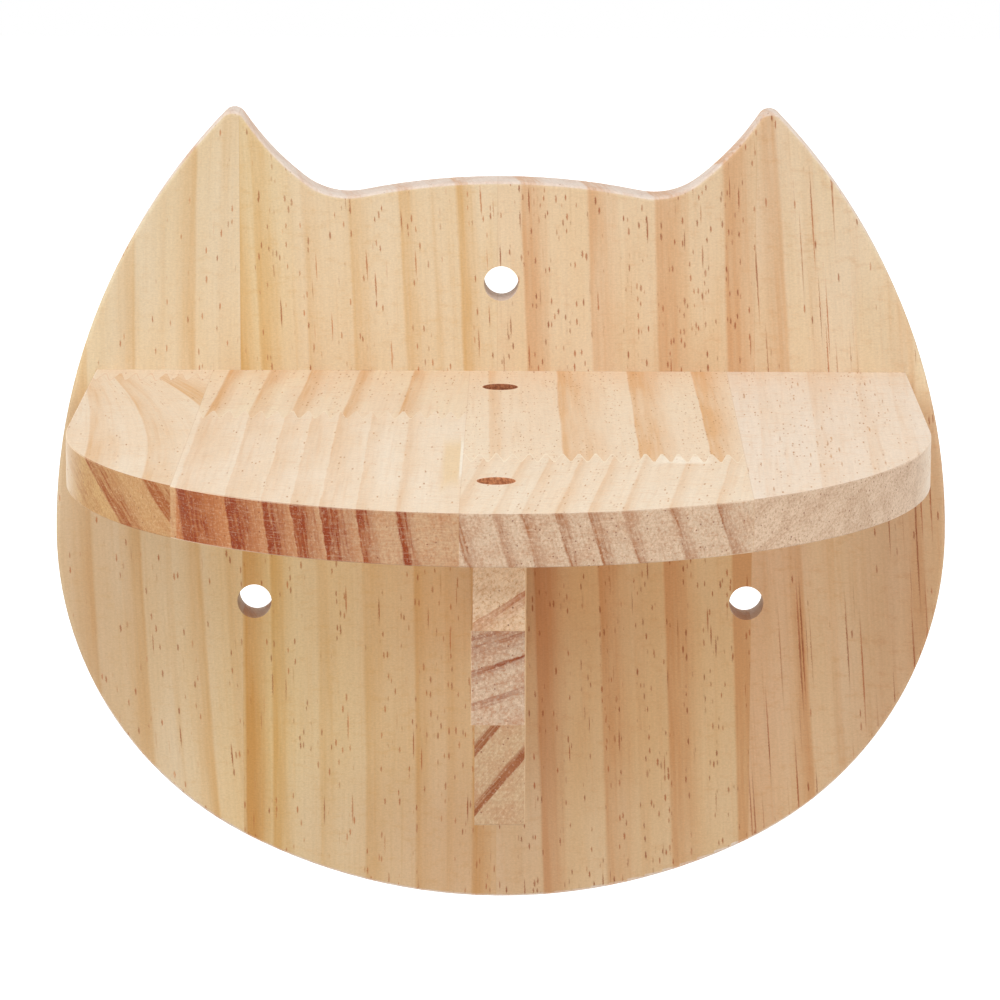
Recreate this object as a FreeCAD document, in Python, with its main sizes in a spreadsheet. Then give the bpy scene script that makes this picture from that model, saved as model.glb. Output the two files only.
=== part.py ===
import FreeCAD, Part
import math
import os
import Sketcher

# A wall-hung climbing step for a cat, in millimetres. X is to the right, Y goes into the wall and Z is up.
# The origin is on the back face of the plate, on its centre line, at the level where the plate is widest.
# Every size below becomes one named cell of the spreadsheet.

SIZES = {
    # Back plate, in the outline of a cat's head
    "plate_width": (300, "across the cheeks, at the widest level"),
    "plate_thickness": (16, "planed board"),
    "plate_drop": (126.3, "from the widest level down to the chin"),
    "crown_rise": (120.2, "from the widest level up to the crown, on the centre line"),
    "crown_dip": (4.6, "from the crown down to where the crown's arc ends"),
    "ear_height": (25.6, "from the crown up to the ear's corner, before it is rounded"),
    "ear_span": (177.4, "from one ear's corner to the other's"),
    "ear_tip_radius": (4, "round on the ear's corner"),
    "plate_edge_radius": (1.5, "round along the plate's outline, front and back"),
    "chin_share": (0.579, "end of the chin's arc, as a share of the half width"),
    "crown_end_share": (0.521, "end of the crown's arc, as a share of the half ear span"),
    "ear_foot_share": (0.743, "foot of the ear's inner arc, as a share of the half ear span"),
    "stave_width": (86, "one glued stave, of the plate and of the shelf"),
    "plate_glue_shift": (-1.2, "middle glue line of the plate, from the centre line"),
    # Holes for the wall screws
    "wall_hole_diameter": (11.6, "round hole through the plate"),
    "wall_hole_top_rise": (85.9, "top hole, above the widest level"),
    "wall_hole_side_reach": (83.2, "side holes, from the centre line"),
    "wall_hole_side_drop": (23.1, "side holes, below the widest level"),
    # Shelf
    "shelf_width": (271.2, "across the straight sides"),
    "shelf_thickness": (15.8, "planed board"),
    "shelf_side_length": (106, "straight side, from the plate to the half round"),
    "shelf_level": (56.3, "top face, above the plate's widest level"),
    "shelf_edge_bevel": (0.3, "sanded bevel along the shelf's outline, top and bottom"),
    "shelf_glue_shift": (-10.4, "middle glue line of the shelf, from the centre line"),
    # Finger joints between the lengths of three of the shelf's staves
    "finger_pitch": (5.06, "from one finger to the next"),
    "finger_length": (12, "from tip to root"),
    "finger_tip_width": (0.7, "flat at a finger's tip"),
    "joint_1_depth": (14.5, "middle of stave 1's joint, in front of the plate"),
    "joint_2_depth": (83.3, "middle of stave 2's joint, in front of the plate"),
    "joint_3_depth": (154.8, "middle of stave 3's joint, in front of the plate"),
    # Rib, glued from three strips that are flush on the right
    "rib_length": (222, "from the plate to the rib's front"),
    "rib_thickness": (16, "middle strip"),
    "rib_shift": (0.9, "middle of the rib, right of the centre line"),
    "rib_upper_height": (23.1, "upper strip"),
    "rib_middle_height": (28.5, "middle strip"),
    "rib_lower_height": (30.5, "lower strip"),
    "rib_upper_step": (0.5, "upper strip's left face, inside the middle strip's"),
    "rib_lower_step": (1.1, "lower strip's left face, inside the middle strip's"),
    "rib_edge_radius": (0.6, "round on the rib's front and lower edges"),
    # Wood screws, all of one gauge
    "shank_diameter": (4, "body of a screw"),
    "screw_head_diameter": (8, "head of a screw"),
    "pan_head_height": (2.6, "head of a screw in the shelf"),
    "pan_head_flat_share": (0.5, "flat top of that head, as a share of its diameter"),
    "pan_head_rim_share": (0.5, "upright rim of that head, as a share of its height"),
    "countersink_angle": (90, "degrees, of a flush head and of its seat"),
    "screw_point_length": (4, "point of a screw"),
    "screw_point_diameter": (0.6, "flat at the end of the point"),
    "drive_slot_length": (4.4, "cross recess, across the head"),
    "drive_slot_width": (0.9, "cross recess, one slot"),
    "drive_slot_depth": (1.2, "cross recess, below the top of the head"),
    "pilot_clearance": (0.05, "all round the shank, in a pilot hole"),
    "passing_clearance": (0.25, "all round the shank, in a hole that it passes through"),
    "head_clearance": (0.1, "all round a countersunk head"),
    "pilot_overrun": (1, "pilot hole past the end of the screw"),
    # Screws down through the shelf into the rib, in deep round holes
    "shelf_screw_length": (35, "under the head"),
    "shelf_bore_diameter": (11.4, "round hole over the head"),
    "shelf_bore_depth": (8, "round hole over the head"),
    "shelf_screw_rear": (30.8, "rear screw, in front of the plate"),
    "shelf_screw_front": (191.9, "front screw, in front of the plate"),
    # Screws from the back of the plate into the shelf and the rib
    "plate_screw_length": (45, "whole screw with its flush head"),
    "plate_screw_inner_reach": (45, "inner pair in the shelf, from the centre line"),
    "plate_screw_outer_step": (20, "outer pair in the shelf, from one stave's width off the centre line"),
    "rib_screw_upper_drop": (32, "upper screw in the rib, below the shelf"),
    "rib_screw_lower_drop": (68, "lower screw in the rib, below the shelf"),
    # How far every cutting solid runs past what it cuts
    "overrun": (20, "past the outside of a board"),
}

DOC = FreeCAD.newDocument("CatClimbingStep")

# Formulas that several pieces share
HALF_PLATE = "Sizes.plate_width / 2"
HALF_EARS = "Sizes.ear_span / 2"
EAR_RISE = "Sizes.crown_rise + Sizes.ear_height"
PLATE_FRONT = "-Sizes.plate_thickness"
SHELF_UNDERSIDE = "Sizes.shelf_level - Sizes.shelf_thickness"
SHELF_DEPTH = "Sizes.shelf_side_length + Sizes.shelf_width / 2"
RIB_HEIGHT = "Sizes.rib_upper_height + Sizes.rib_middle_height + Sizes.rib_lower_height"
PILOT_RADIUS = "Sizes.shank_diameter / 2 + Sizes.pilot_clearance"
PASSING_DIAMETER = "Sizes.shank_diameter + 2 * Sizes.passing_clearance"
PLATE_PILOT = "Sizes.plate_screw_length - Sizes.plate_thickness + Sizes.pilot_overrun"
SHELF_PILOT = ("Sizes.shelf_screw_length - Sizes.shelf_thickness + Sizes.shelf_bore_depth"
               " + Sizes.pilot_overrun")


# The spreadsheet, and the small helpers that bind things to it

def make_sheet():
    sheet = DOC.addObject("Spreadsheet::Sheet", "Sizes")
    for row, (name, (value, note)) in enumerate(SIZES.items(), start=1):
        sheet.set("A%d" % row, name)
        sheet.set("B%d" % row, str(value))
        sheet.set("C%d" % row, note)
        sheet.setAlias("B%d" % row, name)
    DOC.recompute()
    return sheet


def size(formula):
    """The present value of a formula of sheet cells."""
    return float(SHEET.evalExpression(formula))


def bind(thing, **formulas):
    """Bind properties of a thing to formulas of sheet cells."""
    for name, formula in formulas.items():
        thing.setExpression(name, formula)


def place(thing, x="0", y="0", z="0"):
    """Bind the three coordinates of a thing's place."""
    thing.setExpression("Placement.Base.x", x)
    thing.setExpression("Placement.Base.y", y)
    thing.setExpression("Placement.Base.z", z)


def origin_part(body, role):
    """A plane or an axis of a body's own origin."""
    return next(part for part in body.Origin.OriginFeatures if part.Role == role)


def make_body(name):
    body = DOC.addObject("PartDesign::Body", name)
    body.Label = name
    return body


def make_sketch(body, name, role):
    sketch = body.newObject("Sketcher::SketchObject", name)
    sketch.AttachmentSupport = (origin_part(body, role), [""])
    sketch.MapMode = "FlatFace"
    return sketch


def dimension(sketch, name, kind, where, formula):
    """Add a dimension to a sketch and bind it to a formula."""
    index = sketch.addConstraint(Sketcher.Constraint(kind, *where, size(formula)))
    sketch.renameConstraint(index, name)
    sketch.setExpression("Constraints." + name, formula)


def relate(sketch, kind, *where):
    sketch.addConstraint(Sketcher.Constraint(kind, *where))


def add_line(sketch, start, end):
    return sketch.addGeometry(Part.LineSegment(start, end))


def add_arc(sketch, centre, start, end):
    """Add the arc that runs anticlockwise about a centre, from start to end."""
    radius = start.distanceToPoint(centre)
    first = math.atan2(start.y - centre.y, start.x - centre.x)
    last = math.atan2(end.y - centre.y, end.x - centre.x)
    circle = Part.Circle(centre, FreeCAD.Vector(0, 0, 1), radius)
    return sketch.addGeometry(Part.ArcOfCircle(circle, first, last))


def add_circle(sketch, name, x, y, radius):
    """Add a circle whose centre and radius are bound to formulas."""
    centre = FreeCAD.Vector(size(x), size(y), 0)
    circle = sketch.addGeometry(Part.Circle(centre, FreeCAD.Vector(0, 0, 1), size(radius)))
    dimension(sketch, name + "_radius", "Radius", (circle,), radius)
    pin_point(sketch, name, circle, CENTRE, x, y)


def pin_point(sketch, name, geometry, point, x, y):
    """Hold a point of a sketch at two bound distances from the sketch's origin."""
    dimension(sketch, name + "_x", "DistanceX", (ROOT, START, geometry, point), x)
    dimension(sketch, name + "_y", "DistanceY", (ROOT, START, geometry, point), y)


def draw_polygon(sketch, name, corners):
    """A closed run of straight lines whose corners are pairs of formulas."""
    points = [FreeCAD.Vector(size(x), size(y), 0) for x, y in corners]
    lines = [add_line(sketch, start, end) for start, end in zip(points, points[1:] + points[:1])]
    for line, following in zip(lines, lines[1:] + lines[:1]):
        relate(sketch, "Coincident", line, END, following, START)
    for number, (line, (x, y)) in enumerate(zip(lines, corners)):
        pin_point(sketch, "%s_%d" % (name, number), line, START, x, y)


def add_box(name, corner, spans):
    """A box whose low corner and three spans are bound to formulas."""
    box = DOC.addObject("Part::Box", name)
    bind(box, Length=spans[0], Width=spans[1], Height=spans[2])
    place(box, *corner)
    return box


def combine(kind, name, base, tool):
    """A boolean of two shapes, such as Part::Common or Part::Cut."""
    result = DOC.addObject(kind, name)
    result.Label = name
    result.Base = base
    result.Tool = tool
    return result


def pad(body, name, sketch, length):
    feature = body.newObject("PartDesign::Pad", name)
    feature.Profile = sketch
    bind(feature, Length=length)
    return feature


def pocket(body, name, sketch, length, reverse=True):
    """Cut from a sketch on the outside of a board into the board."""
    feature = body.newObject("PartDesign::Pocket", name)
    feature.Profile = sketch
    feature.Reversed = reverse
    bind(feature, Length=length)
    return feature


def dress_edges(body, kind, name, base, chosen, **formulas):
    """Round or bevel the edges of a feature that a test picks."""
    DOC.recompute()
    edges = base.Shape.Edges
    names = ["Edge%d" % number for number, edge in enumerate(edges, start=1) if chosen(edge)]
    dressing = body.newObject(kind, name)
    dressing.Base = (base, names)
    bind(dressing, **formulas)
    return dressing


def lies_at(edge, axis, level):
    """True if both ends of an edge are at a level of X, Y or Z."""
    return all(abs(getattr(vertex, axis) - level) < Part.Precision.confusion() for vertex in edge.Vertexes)


# Sketcher's numbers for the points of a geometry and for its own axes, whose X starts at its root point
START, END, CENTRE = range(1, 4)
X_AXIS, Y_AXIS = range(-1, -3, -1)
ROOT = X_AXIS

SHEET = make_sheet()


# Back plate

def draw_half_head(sketch):
    """The right half of the cat's head, as a chain of arcs closed by the centre line."""
    half = size(HALF_PLATE)
    drop = size("Sizes.plate_drop")
    crown = size("Sizes.crown_rise")
    ears = size(HALF_EARS)
    chin_end = size("Sizes.chin_share") * half
    widest = FreeCAD.Vector(half, 0, 0)
    chin = FreeCAD.Vector(0, -drop, 0)
    top = FreeCAD.Vector(0, crown, 0)
    tip = FreeCAD.Vector(ears, size(EAR_RISE), 0)
    foot = FreeCAD.Vector(size("Sizes.ear_foot_share") * ears, crown, 0)
    crown_end = FreeCAD.Vector(size("Sizes.crown_end_share") * ears, crown - size("Sizes.crown_dip"), 0)
    jaw = FreeCAD.Vector(chin_end, -drop * math.sqrt(1 - (chin_end / half) ** 2), 0)

    # Starting centres that lie on the proper side of each arc, for the solver
    chin_centre = FreeCAD.Vector(0, 0, 0)
    cheek_centre = FreeCAD.Vector(half - drop, 0, 0)
    flank_centre = FreeCAD.Vector(crown_end.x - ears, 0, 0)
    ear_centre = FreeCAD.Vector(0, tip.y + crown_end.x, 0)
    valley_centre = FreeCAD.Vector((foot.x + crown_end.x) / 2, tip.y, 0)
    crown_centre = FreeCAD.Vector(0, -crown, 0)

    chin_arc = add_arc(sketch, chin_centre, chin, jaw)
    cheek_arc = add_arc(sketch, cheek_centre, jaw, widest)
    flank_arc = add_arc(sketch, flank_centre, widest, tip)
    ear_arc = add_arc(sketch, ear_centre, foot, tip)
    valley_arc = add_arc(sketch, valley_centre, crown_end, foot)
    crown_arc = add_arc(sketch, crown_centre, crown_end, top)
    centre_line = add_line(sketch, top, chin)

    relate(sketch, "Tangent", chin_arc, END, cheek_arc, START)
    relate(sketch, "Coincident", cheek_arc, END, flank_arc, START)
    relate(sketch, "Coincident", flank_arc, END, ear_arc, END)
    relate(sketch, "Tangent", ear_arc, START, valley_arc, END)
    relate(sketch, "Tangent", valley_arc, START, crown_arc, START)
    relate(sketch, "Coincident", crown_arc, END, centre_line, START)
    relate(sketch, "Coincident", centre_line, END, chin_arc, START)
    relate(sketch, "PointOnObject", chin_arc, CENTRE, Y_AXIS)
    relate(sketch, "PointOnObject", crown_arc, CENTRE, Y_AXIS)
    relate(sketch, "PointOnObject", cheek_arc, CENTRE, X_AXIS)
    relate(sketch, "PointOnObject", flank_arc, CENTRE, X_AXIS)

    pin_point(sketch, "chin", chin_arc, START, "0", "-Sizes.plate_drop")
    pin_point(sketch, "widest", flank_arc, START, HALF_PLATE, "0")
    pin_point(sketch, "crown", crown_arc, END, "0", "Sizes.crown_rise")
    pin_point(sketch, "tip", flank_arc, END, HALF_EARS, EAR_RISE)
    pin_point(sketch, "foot", ear_arc, START, HALF_EARS + " * Sizes.ear_foot_share", "Sizes.crown_rise")
    pin_point(sketch, "crown_end", crown_arc, START, HALF_EARS + " * Sizes.crown_end_share",
              "Sizes.crown_rise - Sizes.crown_dip")
    dimension(sketch, "chin_end", "DistanceX", (ROOT, START, chin_arc, END),
              HALF_PLATE + " * Sizes.chin_share")


def plate_screw_places():
    """Places of the six screws behind the plate, as formulas in X and Z."""
    shelf_middle = SHELF_UNDERSIDE + " + Sizes.shelf_thickness / 2"
    outer_reach = "(Sizes.stave_width + Sizes.plate_screw_outer_step)"
    places = {}
    for side, sign in (("left", "-"), ("right", "")):
        places["outer_" + side] = (sign + outer_reach, shelf_middle)
        places["inner_" + side] = (sign + "Sizes.plate_screw_inner_reach", shelf_middle)
    for level in ("upper", "lower"):
        places["rib_" + level] = ("0", SHELF_UNDERSIDE + " - Sizes.rib_screw_%s_drop" % level)
    return places


def make_plate_blank():
    """The glued-up plate: outline, rounded edges, wall holes and countersunk screw holes."""
    body = make_body("PlateBlank")
    outline = make_sketch(body, "PlateOutline", "XZ_Plane")
    draw_half_head(outline)
    half = pad(body, "PlateHalf", outline, "Sizes.plate_thickness")
    whole = body.newObject("PartDesign::Mirrored", "PlateWhole")
    whole.Originals = [half]
    whole.MirrorPlane = (origin_part(body, "YZ_Plane"), [""])
    body.Tip = whole

    corner = FreeCAD.Vector(size(HALF_EARS), 0, size(EAR_RISE))

    def is_ear_corner(edge):
        return all(
            math.hypot(abs(vertex.X) - corner.x, vertex.Z - corner.z) < Part.Precision.confusion()
            for vertex in edge.Vertexes
        )

    def is_outline(edge):
        return lies_at(edge, "Y", 0) or lies_at(edge, "Y", size(PLATE_FRONT))

    tips = dress_edges(body, "PartDesign::Fillet", "EarTips", whole, is_ear_corner,
                       Radius="Sizes.ear_tip_radius")
    dress_edges(body, "PartDesign::Fillet", "PlateEdges", tips, is_outline,
                Radius="Sizes.plate_edge_radius")

    wall_holes = make_sketch(body, "WallHoles", "XZ_Plane")
    radius = "Sizes.wall_hole_diameter / 2"
    add_circle(wall_holes, "top", "0", "Sizes.wall_hole_top_rise", radius)
    add_circle(wall_holes, "left", "-Sizes.wall_hole_side_reach", "-Sizes.wall_hole_side_drop", radius)
    add_circle(wall_holes, "right", "Sizes.wall_hole_side_reach", "-Sizes.wall_hole_side_drop", radius)
    pocket(body, "WallHoleCut", wall_holes, "Sizes.plate_thickness")

    centres = make_sketch(body, "PlateScrewCentres", "XZ_Plane")
    for name, (x, z) in plate_screw_places().items():
        add_circle(centres, name, x, z, PASSING_DIAMETER + " / 2")
    DOC.recompute()
    holes = body.newObject("PartDesign::Hole", "PlateScrewHoles")
    holes.Profile = centres
    holes.Reversed = True
    holes.DepthType = "ThroughAll"
    holes.HoleCutType = "Countersink"
    bind(holes, Diameter=PASSING_DIAMETER, HoleCutCountersinkAngle="Sizes.countersink_angle",
         HoleCutDiameter="Sizes.screw_head_diameter + 2 * Sizes.head_clearance")
    return body


def make_plate_staves(blank):
    """Cut the plate along its three glue lines."""
    low = "Sizes.plate_glue_shift - 2 * Sizes.stave_width"
    names = ("left", "centre_left", "centre_right", "right")
    staves = []
    for number, name in enumerate(names):
        box = add_box(
            "PlateCut_" + name,
            (low + " + %d * Sizes.stave_width" % number,
             "-Sizes.plate_thickness - Sizes.overrun",
             "-Sizes.plate_drop - Sizes.overrun"),
            ("Sizes.stave_width",
             "Sizes.plate_thickness + 2 * Sizes.overrun",
             "Sizes.plate_drop + " + EAR_RISE + " + 2 * Sizes.overrun"),
        )
        staves.append(combine("Part::Common", "plate_stave_" + name, blank, box))
    return staves


# Shelf

def draw_shelf(sketch):
    """A straight back and sides, and a half round front."""
    half = size("Sizes.shelf_width / 2")
    side = size("Sizes.shelf_side_length")
    back_left = FreeCAD.Vector(-half, 0, 0)
    back_right = FreeCAD.Vector(half, 0, 0)
    front_left = FreeCAD.Vector(-half, -side, 0)
    front_right = FreeCAD.Vector(half, -side, 0)
    back = add_line(sketch, back_right, back_left)
    left = add_line(sketch, back_left, front_left)
    front = add_arc(sketch, FreeCAD.Vector(0, -side, 0), front_left, front_right)
    right = add_line(sketch, front_right, back_right)
    relate(sketch, "Coincident", back, END, left, START)
    relate(sketch, "Tangent", left, END, front, START)
    relate(sketch, "Tangent", front, END, right, START)
    relate(sketch, "Coincident", right, END, back, START)
    relate(sketch, "Vertical", left)
    relate(sketch, "Vertical", right)
    relate(sketch, "PointOnObject", back, START, X_AXIS)
    relate(sketch, "PointOnObject", front, CENTRE, Y_AXIS)
    dimension(sketch, "depth", "DistanceY", (front, START, ROOT, START), "Sizes.shelf_side_length")
    dimension(sketch, "width", "DistanceX", (left, END, right, START), "Sizes.shelf_width")


def make_shelf_blank():
    """The glued-up shelf: outline, bevelled edges, deep screw holes above and pilot holes behind."""
    body = make_body("ShelfBlank")
    outline = make_sketch(body, "ShelfOutline", "XY_Plane")
    draw_shelf(outline)
    board = pad(body, "ShelfBoard", outline, "Sizes.shelf_thickness")
    place(body, y=PLATE_FRONT, z=SHELF_UNDERSIDE)

    def is_outline(edge):
        on_a_face = lies_at(edge, "Z", 0) or lies_at(edge, "Z", size("Sizes.shelf_thickness"))
        return on_a_face and not lies_at(edge, "Y", 0)

    dress_edges(body, "PartDesign::Chamfer", "ShelfEdges", board, is_outline,
                Size="Sizes.shelf_edge_bevel")

    bores = make_sketch(body, "ShelfBoreCentres", "XY_Plane")
    bores.setExpression("AttachmentOffset.Base.z", "Sizes.shelf_thickness")
    for name in ("rear", "front"):
        add_circle(bores, name, "0", "-Sizes.shelf_screw_" + name, PASSING_DIAMETER + " / 2")
    DOC.recompute()
    holes = body.newObject("PartDesign::Hole", "ShelfBores")
    holes.Profile = bores
    holes.DepthType = "ThroughAll"
    holes.HoleCutType = "Counterbore"
    bind(holes, Diameter=PASSING_DIAMETER, HoleCutDiameter="Sizes.shelf_bore_diameter",
         HoleCutDepth="Sizes.shelf_bore_depth")

    pilots = make_sketch(body, "ShelfPilots", "XZ_Plane")
    for name, (x, _) in plate_screw_places().items():
        if not name.startswith("rib"):
            add_circle(pilots, name, x, "Sizes.shelf_thickness / 2", PILOT_RADIUS)
    pocket(body, "ShelfPilotCut", pilots, PLATE_PILOT)
    return body


def stave_start(number):
    """Left side of a shelf stave, counted from 1 at the left. The third starts at the middle glue line."""
    return "Sizes.shelf_glue_shift + (%d) * Sizes.stave_width" % (number - 3)


def make_finger_block(number):
    """The space behind one finger joint: a block whose front is a row of fingers."""
    depth = "Sizes.joint_%d_depth" % number
    count = "round(Sizes.stave_width / Sizes.finger_pitch)"
    pitch = "Sizes.stave_width / " + count
    root = "(" + depth + " - Sizes.finger_length / 2)"
    tip = "(" + depth + " + Sizes.finger_length / 2)"
    body = make_body("FingerBlock_%d" % number)
    place(body, x=stave_start(number), y=PLATE_FRONT, z=SHELF_UNDERSIDE + " - Sizes.overrun")
    height = "Sizes.shelf_thickness + 2 * Sizes.overrun"

    block = make_sketch(body, "FingerBase_%d" % number, "XY_Plane")
    draw_polygon(block, "base", (
        ("0", "Sizes.overrun"),
        ("0", "-" + root),
        ("Sizes.stave_width", "-" + root),
        ("Sizes.stave_width", "Sizes.overrun"),
    ))
    pad(body, "FingerBasePad_%d" % number, block, height)

    finger = make_sketch(body, "Finger_%d" % number, "XY_Plane")
    draw_polygon(finger, "finger", (
        ("Sizes.finger_tip_width / 2", "-" + root),
        (pitch + " / 2 - Sizes.finger_tip_width / 2", "-" + tip),
        (pitch + " / 2 + Sizes.finger_tip_width / 2", "-" + tip),
        (pitch + " - Sizes.finger_tip_width / 2", "-" + root),
    ))
    one = pad(body, "FingerPad_%d" % number, finger, height)
    row = body.newObject("PartDesign::LinearPattern", "FingerRow_%d" % number)
    row.Originals = [one]
    row.Direction = (origin_part(body, "X_Axis"), [""])
    bind(row, Occurrences=count, Length="Sizes.stave_width - " + pitch)
    body.Tip = row
    return body


def make_shelf_staves(blank):
    """Cut the shelf along its three glue lines, and three of the staves at their finger joints."""
    pieces = []
    for number in (1, 2, 3, 4):
        box = add_box(
            "ShelfCut_%d" % number,
            (stave_start(number),
             PLATE_FRONT + " - (" + SHELF_DEPTH + ") - Sizes.overrun",
             SHELF_UNDERSIDE + " - Sizes.overrun"),
            ("Sizes.stave_width",
             SHELF_DEPTH + " + 2 * Sizes.overrun",
             "Sizes.shelf_thickness + 2 * Sizes.overrun"),
        )
        if number == 4:
            pieces.append(combine("Part::Common", "shelf_stave_4", blank, box))
            continue
        stave = combine("Part::Common", "ShelfStave_%d" % number, blank, box)
        block = make_finger_block(number)
        pieces.append(combine("Part::Common", "shelf_stave_%d_rear" % number, stave, block))
        pieces.append(combine("Part::Cut", "shelf_stave_%d_front" % number, stave, block))
    return pieces


# Rib

def make_rib_blank():
    """The glued-up rib: one upright board with pilot holes above and behind."""
    half = "Sizes.rib_thickness / 2"
    body = make_body("RibBlank")
    place(body, x="Sizes.rib_shift", y=PLATE_FRONT, z=SHELF_UNDERSIDE)
    section = make_sketch(body, "RibSection", "XZ_Plane")
    draw_polygon(section, "section", (
        ("-" + half, "0"),
        ("-" + half, "-(" + RIB_HEIGHT + ")"),
        (half, "-(" + RIB_HEIGHT + ")"),
        (half, "0"),
    ))
    board = pad(body, "RibBoard", section, "Sizes.rib_length")
    bottom = -size(RIB_HEIGHT)
    front = -size("Sizes.rib_length")

    def is_free_edge(edge):
        free = lies_at(edge, "Z", bottom) or lies_at(edge, "Y", front)
        return free and not lies_at(edge, "Y", 0) and not lies_at(edge, "Z", 0)

    dress_edges(body, "PartDesign::Fillet", "RibEdges", board, is_free_edge,
                Radius="Sizes.rib_edge_radius")

    above = make_sketch(body, "RibPilotsAbove", "XY_Plane")
    for name in ("rear", "front"):
        add_circle(above, name, "-Sizes.rib_shift", "-Sizes.shelf_screw_" + name, PILOT_RADIUS)
    pocket(body, "RibPilotCutAbove", above, SHELF_PILOT, reverse=False)

    behind = make_sketch(body, "RibPilotsBehind", "XZ_Plane")
    for level in ("upper", "lower"):
        add_circle(behind, level, "-Sizes.rib_shift", "-Sizes.rib_screw_%s_drop" % level, PILOT_RADIUS)
    pocket(body, "RibPilotCutBehind", behind, PLATE_PILOT)
    return body


def make_rib_strips(blank):
    """Cut the rib along its two glue lines. The strips are flush on the right only."""
    right = "Sizes.rib_shift + Sizes.rib_thickness / 2"
    strips = []
    above = ""
    steps = {"upper": "Sizes.rib_upper_step", "middle": "0", "lower": "Sizes.rib_lower_step"}
    for name, step in steps.items():
        height = "Sizes.rib_%s_height" % name
        above = above + " - " + height
        box = add_box(
            "RibCut_" + name,
            (right + " - Sizes.rib_thickness + " + step,
             PLATE_FRONT + " - Sizes.rib_length - Sizes.overrun",
             SHELF_UNDERSIDE + above),
            ("Sizes.rib_thickness - " + step,
             "Sizes.rib_length + 2 * Sizes.overrun",
             height),
        )
        strips.append(combine("Part::Common", "rib_strip_" + name, blank, box))
    return strips


# Screws

def turned_screw(head, top, length):
    """A screw turned from half of its section, head up, with the underside of its head at Z = 0."""
    shank = size("Sizes.shank_diameter / 2")
    point = size("Sizes.screw_point_diameter / 2")
    taper = size("Sizes.screw_point_length")
    section = [(0, top)] + head + [(shank, 0), (shank, taper - length), (point, -length), (0, -length)]
    points = [FreeCAD.Vector(x, 0, z) for x, z in section]
    face = Part.Face(Part.makePolygon(points + points[:1]))
    return face.revolve(FreeCAD.Vector(), FreeCAD.Vector(0, 0, 1), 360)


def make_screw(name, head, top, length, spot, turn):
    """One screw with a cross recess in its head, turned and set down at its spot."""
    shape = turned_screw(head, top, length)
    long_side = size("Sizes.drive_slot_length")
    short_side = size("Sizes.drive_slot_width")
    deep = size("Sizes.drive_slot_depth")
    for along, across in ((long_side, short_side), (short_side, long_side)):
        corner = FreeCAD.Vector(-along / 2, -across / 2, top - deep)
        shape = shape.cut(Part.makeBox(along, across, deep, corner))
    screw = DOC.addObject("Part::Feature", name)
    screw.Shape = shape
    screw.Placement = FreeCAD.Placement(spot, turn)
    return screw


def group(name, members):
    """Several equal fasteners in one node, as separate solids."""
    node = DOC.addObject("Part::Compound", name)
    node.Label = name
    node.Links = members
    return node


def make_shelf_screws():
    """Two pan-head screws, sunk in the shelf's deep holes."""
    head_radius = size("Sizes.screw_head_diameter / 2")
    head_height = size("Sizes.pan_head_height")
    flat = head_radius * size("Sizes.pan_head_flat_share")
    rim = head_height * size("Sizes.pan_head_rim_share")
    head = [(flat, head_height), (head_radius, rim), (head_radius, 0)]
    seat = size("Sizes.shelf_level - Sizes.shelf_bore_depth")
    length = size("Sizes.shelf_screw_length")
    screws = []
    for name in ("rear", "front"):
        depth = size("Sizes.plate_thickness + Sizes.shelf_screw_" + name)
        spot = FreeCAD.Vector(0, -depth, seat)
        screws.append(make_screw("ShelfScrew_" + name, head, head_height, length, spot, FreeCAD.Rotation()))
    return group("shelf_screws", screws)


def make_plate_screws():
    """Six countersunk screws, flush with the back of the plate."""
    head_radius = size("Sizes.screw_head_diameter / 2")
    slope = math.tan(math.radians(size("Sizes.countersink_angle / 2")))
    cone = size("Sizes.screw_head_diameter / 2 - Sizes.shank_diameter / 2") / slope
    length = size("Sizes.plate_screw_length") - cone
    forward = FreeCAD.Rotation(FreeCAD.Vector(0, 0, 1), FreeCAD.Vector(0, 1, 0))
    screws = []
    for name, (x, z) in plate_screw_places().items():
        spot = FreeCAD.Vector(size(x), -cone, size(z))
        screws.append(make_screw("PlateScrew_" + name, [(head_radius, cone)], cone, length, spot, forward))
    return group("plate_screws", screws)


# Build, check and write

def check_everything():
    for thing in DOC.Objects:
        if "Invalid" in thing.State or "Error" in thing.State:
            raise RuntimeError("%s failed: %s" % (thing.Name, thing.State))
        if thing.TypeId == "Sketcher::SketchObject" and thing.solve() != 0:
            raise RuntimeError("%s can't be solved" % thing.Name)


def write_parts(parts):
    os.makedirs("parts", exist_ok=True)
    for part in parts:
        shape = part.Shape
        if shape.isNull() or not shape.isValid():
            raise RuntimeError("%s has no valid shape" % part.Label)
        shape.exportStep(os.path.join("parts", part.Label + ".step"))
        print("%-26s solids %d  volume %.1f" % (part.Label, len(shape.Solids), shape.Volume))


def main():
    parts = make_plate_staves(make_plate_blank())
    parts += make_shelf_staves(make_shelf_blank())
    parts += make_rib_strips(make_rib_blank())
    DOC.recompute()
    parts.append(make_shelf_screws())
    parts.append(make_plate_screws())
    DOC.recompute()
    check_everything()
    write_parts(parts)


main()
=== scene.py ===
import math

import bpy
from mathutils import Matrix, Vector

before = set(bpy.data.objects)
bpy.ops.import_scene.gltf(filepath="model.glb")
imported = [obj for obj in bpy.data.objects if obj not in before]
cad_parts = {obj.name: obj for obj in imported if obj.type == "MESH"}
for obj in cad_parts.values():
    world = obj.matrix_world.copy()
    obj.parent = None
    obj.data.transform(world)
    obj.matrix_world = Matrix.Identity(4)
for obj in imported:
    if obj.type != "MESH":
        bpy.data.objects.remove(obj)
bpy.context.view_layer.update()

# Lengths in the materials are in millimetres, like the part's own sizes. The scene is in metres.
MM = 0.001

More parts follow.
